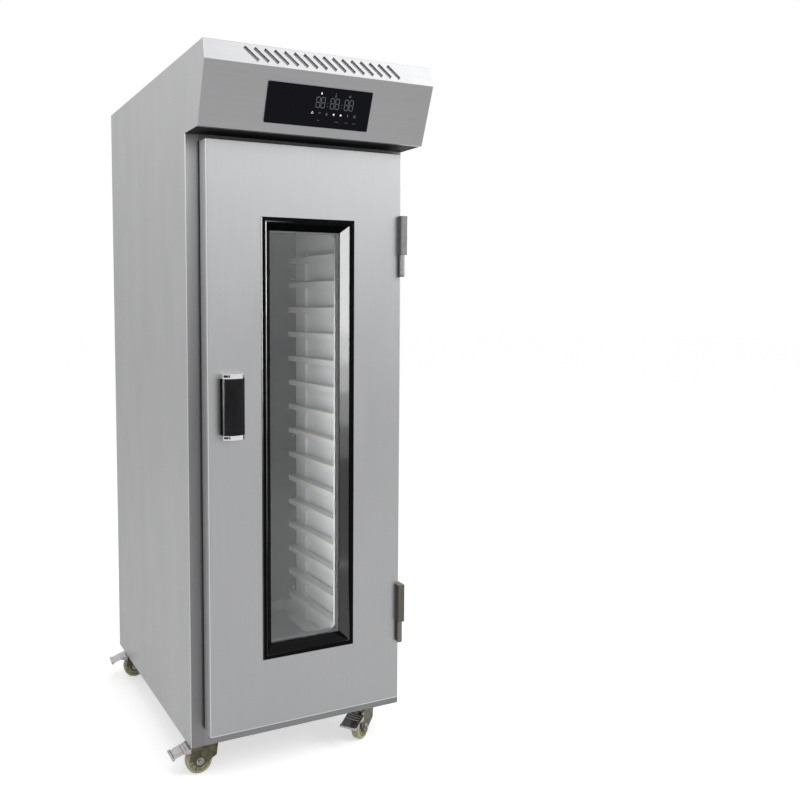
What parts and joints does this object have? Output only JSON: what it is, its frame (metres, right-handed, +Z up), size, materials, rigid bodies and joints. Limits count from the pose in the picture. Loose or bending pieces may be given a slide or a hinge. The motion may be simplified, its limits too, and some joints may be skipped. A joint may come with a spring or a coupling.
{
  "type": "proofing cabinet",
  "caption": "Full-height insulated stainless proofing cabinet with a glazed hinged door, slanted control head, tray runners and braked swivel casters.",
  "frame": {"origin": "on the floor under the middle of the whole cabinet's width and depth", "axes": "+X to the right facing the door (hinge side), +Y to the back, +Z up; the door is on the -Y side"},
  "size_m": [0.7425, 1.003, 1.938],
  "materials": {
    "casing": "brushed stainless sheet",
    "head_underside": "black powder coat",
    "fascia": "brushed stainless sheet",
    "door_skin": "brushed stainless sheet",
    "liner": "satin stainless sheet",
    "rails": "satin stainless sheet",
    "duct": "satin stainless sheet",
    "foam": "rigid polyurethane foam",
    "screws": "plain",
    "touch_glass": "black back-printed glass",
    "board": "green circuit board",
    "fan_black": "moulded",
    "heater": "sheathed element",
    "water": "moulded",
    "pipe": "plain tube",
    "lamp": "opal cover",
    "probe": "plain",
    "power": "moulded",
    "gland": "moulded",
    "bezel": "gloss black",
    "pane": "clear toughened glass",
    "spacer": "mill finish",
    "lining": "grey extrusion",
    "gasket": "black magnetic seal",
    "handle": "gloss black",
    "handle_block": "polished",
    "hinge_door": "dark textured cast metal",
    "hinge_frame": "satin",
    "hinge_pin": "polished",
    "caster_steel": "yellow zinc plate",
    "caster_stem": "zinc plate",
    "wheel": "cream nylon",
    "axle": "zinc plate",
    "pedal": "bright zinc plate"
  },
  "bodies": {
    "cabinet": {"back_panel": "casing", "base_pan": "casing", "cable_gland": "gland", "caster_stems": "caster_stem", "chamber_lamp": "lamp", "climate_probe": "probe", "control_board": "board", "control_glass": "touch_glass", "drain_pipe": "pipe", "duct_panel": "duct", "face_frame": "casing", "fan_housing": "fan_black", "head_fascia": "fascia", "head_floor": "head_underside", "heater_element": "heater", "hinge_frame_leaves": "hinge_frame", "hinge_pins": "hinge_pin", "insulation_foam": "foam", "liner_back": "liner", "liner_ceiling": "liner", "liner_floor": "liner", "liner_left": "liner", "liner_right": "liner", "panel_screws": "screws", "power_box": "power", "rack_uprights": "rails", "roof_panel": "casing", "side_panel_left": "casing", "side_panel_right": "casing", "spray_pipe": "pipe", "tray_rails": "rails", "water_valve": "water"},
    "door": {"door_skin_outer": "door_skin", "door_skin_inner": "liner", "door_foam": "foam", "window_bezel": "bezel", "glass_panes": "pane", "glass_spacer": "spacer", "window_lining": "lining", "door_gasket": "gasket", "handle_grip": "handle", "handle_blocks": "handle_block", "hinge_door_leaves": "hinge_door"},
    "fan": {"fan_impeller": "fan_black"},
    "fork_fl": {"caster_fork_fl": "caster_steel", "caster_axle_fl": "axle"},
    "wheel_fl": {"caster_wheel_fl": "wheel"},
    "pedal_fl": {"caster_pedal_fl": "pedal"},
    "fork_fr": {"caster_fork_fr": "caster_steel", "caster_axle_fr": "axle"},
    "wheel_fr": {"caster_wheel_fr": "wheel"},
    "pedal_fr": {"caster_pedal_fr": "pedal"},
    "fork_rl": {"caster_fork_rl": "caster_steel", "caster_axle_rl": "axle"},
    "wheel_rl": {"caster_wheel_rl": "wheel"},
    "pedal_rl": {"caster_pedal_rl": "pedal"},
    "fork_rr": {"caster_fork_rr": "caster_steel", "caster_axle_rr": "axle"},
    "wheel_rr": {"caster_wheel_rr": "wheel"},
    "pedal_rr": {"caster_pedal_rr": "pedal"}
  },
  "joints": [
    {"name": "door_hinge", "type": "hinge", "parent": "cabinet", "child": "door", "pos_m": [0.287, -0.408, 0.9345], "axis": [0, 0, 1], "range_deg": [0, 170]},
    {"name": "fan_spin", "type": "hinge", "parent": "cabinet", "child": "fan", "pos_m": [0, 0.3307, 1.602], "axis": [0, 1, 0], "continuous": true},
    {"name": "swivel_fl", "type": "hinge", "parent": "cabinet", "child": "fork_fl", "pos_m": [-0.247, -0.2855, 0.087], "axis": [0, 0, 1], "continuous": true},
    {"name": "roll_fl", "type": "hinge", "parent": "fork_fl", "child": "wheel_fl", "pos_m": [-0.28699, -0.2848, 0.0375], "axis": [-0.0175, -0.9998, 0], "continuous": true},
    {"name": "brake_fl", "type": "hinge", "parent": "fork_fl", "child": "pedal_fl", "pos_m": [-0.29899, -0.28459, 0.082], "axis": [-0.0175, -0.9998, 0], "range_deg": [0, 9]},
    {"name": "swivel_fr", "type": "hinge", "parent": "cabinet", "child": "fork_fr", "pos_m": [0.247, -0.2855, 0.087], "axis": [0, 0, 1], "continuous": true},
    {"name": "roll_fr", "type": "hinge", "parent": "fork_fr", "child": "wheel_fr", "pos_m": [0.21384, -0.30787, 0.0375], "axis": [0.5592, -0.829, 0], "continuous": true},
    {"name": "brake_fr", "type": "hinge", "parent": "fork_fr", "child": "pedal_fr", "pos_m": [0.20389, -0.31458, 0.082], "axis": [0.5592, -0.829, 0], "range_deg": [0, 9]},
    {"name": "swivel_rl", "type": "hinge", "parent": "cabinet", "child": "fork_rl", "pos_m": [-0.247, 0.4265, 0.087], "axis": [0, 0, 1], "continuous": true},
    {"name": "roll_rl", "type": "hinge", "parent": "fork_rl", "child": "wheel_rl", "pos_m": [-0.28685, 0.42999, 0.0375], "axis": [-0.0872, -0.9962, 0], "continuous": true},
    {"name": "brake_rl", "type": "hinge", "parent": "fork_rl", "child": "pedal_rl", "pos_m": [-0.2988, 0.43103, 0.082], "axis": [-0.0872, -0.9962, 0], "range_deg": [0, 9]},
    {"name": "swivel_rr", "type": "hinge", "parent": "cabinet", "child": "fork_rr", "pos_m": [0.247, 0.4265, 0.087], "axis": [0, 0, 1], "continuous": true},
    {"name": "roll_rr", "type": "hinge", "parent": "fork_rr", "child": "wheel_rr", "pos_m": [0.28626, 0.43413, 0.0375], "axis": [-0.1908, 0.9816, 0], "continuous": true},
    {"name": "brake_rr", "type": "hinge", "parent": "fork_rr", "child": "pedal_rr", "pos_m": [0.29805, 0.43642, 0.082], "axis": [-0.1908, 0.9816, 0], "range_deg": [0, 9]}
  ]
}
